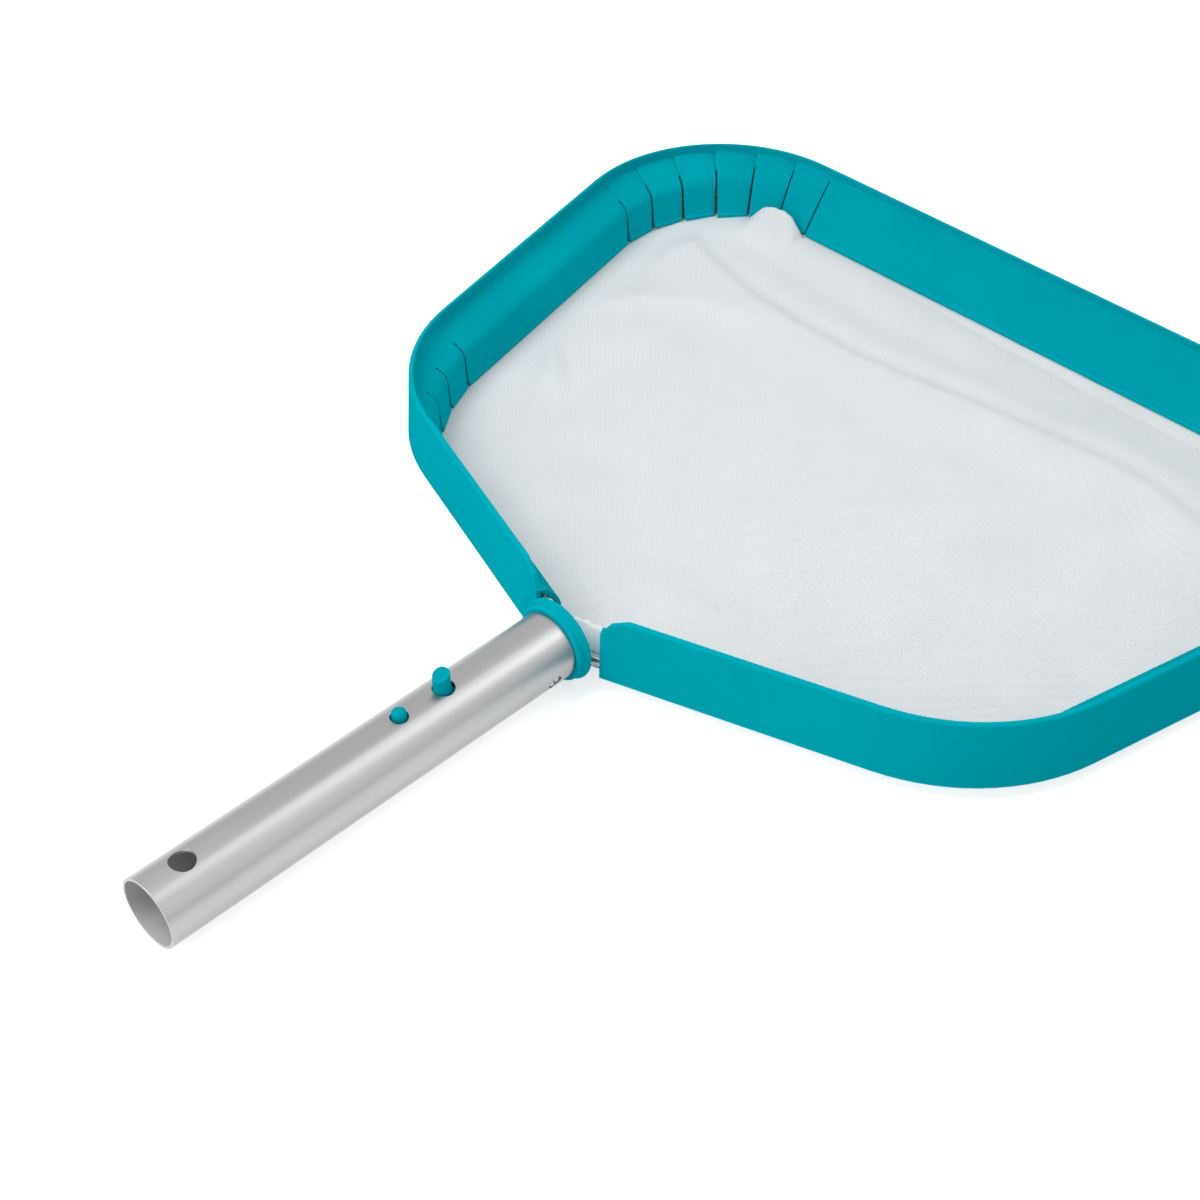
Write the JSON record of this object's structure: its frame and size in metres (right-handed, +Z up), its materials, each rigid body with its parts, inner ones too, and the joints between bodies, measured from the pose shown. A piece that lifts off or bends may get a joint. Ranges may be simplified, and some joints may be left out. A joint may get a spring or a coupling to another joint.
{
  "type": "leaf skimmer net",
  "caption": "Flat leaf skimmer: fine mesh in a slotted plastic lip that clips over a bent metal rod, with a collar and a short latching tube that joins a pole.",
  "frame": {"origin": "middle of the footprint at the lowest point, which is the underside of the collar", "axes": "+Y along the handle tube toward the net, +X to the right, +Z up, the side the lip's rim and the latch buttons face"},
  "size_m": [0.4502, 0.5442, 0.0419],
  "materials": {
    "tube_aluminium": "satin drawn tube",
    "teal_plastic": "satin moulded",
    "steel": "plain",
    "rod_aluminium": "drawn rod",
    "hem_fabric": "woven white hem",
    "mesh_fabric": "fine white mesh"
  },
  "bodies": {
    "skimmer": {"handle_tube": "tube_aluminium", "neck": "teal_plastic", "latch_pin": "steel", "latch_spring": "steel", "tube_screw": "steel", "frame_rod": "rod_aluminium", "frame_channel": "teal_plastic", "net_hem": "hem_fabric", "net": "mesh_fabric"},
    "latch": {"latch_lever": "teal_plastic"}
  },
  "joints": [
    {"name": "latch_press", "type": "hinge", "parent": "skimmer", "child": "latch", "pos_m": [0, -0.1776, 0.0291], "axis": [-1, 0, 0], "range_deg": [0, 9.5], "stiffness_Nm_per_rad": 0.8, "springref_deg": -8.59, "deforming": ["latch_spring"]}
  ]
}
